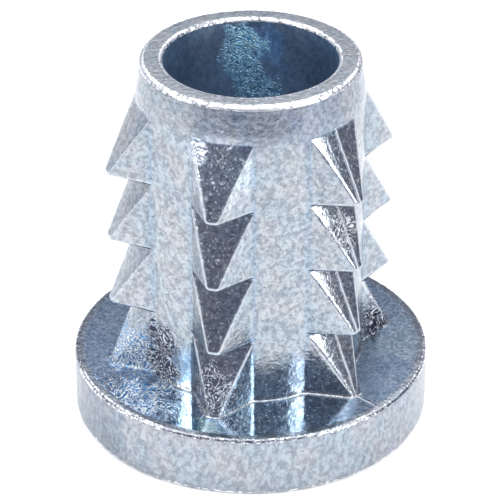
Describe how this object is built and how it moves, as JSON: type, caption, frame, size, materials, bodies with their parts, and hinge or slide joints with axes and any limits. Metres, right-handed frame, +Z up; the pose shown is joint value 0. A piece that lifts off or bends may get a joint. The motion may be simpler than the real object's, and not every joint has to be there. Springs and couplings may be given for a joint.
{
  "type": "insert nut",
  "caption": "Flanged knock-in insert nut for wood panels: a one-piece die casting with rows of barbs round its shank, a threaded hole and a clear bore behind the thread.",
  "frame": {"origin": "centre of the flange's flat underside, which it stands on", "axes": "+Z up the axis of the hole, from the flange to the nose; +X through the middle of one column of barbs, in the plane where the two halves of the mould met"},
  "size_m": [0.014, 0.014, 0.015],
  "materials": {
    "zinc": "cast zinc alloy with a thin blue-white zinc plating: satin, faintly grainy, brighter on its edges"
  },
  "bodies": {
    "root": {"nut_body": "zinc"}
  },
  "joints": []
}
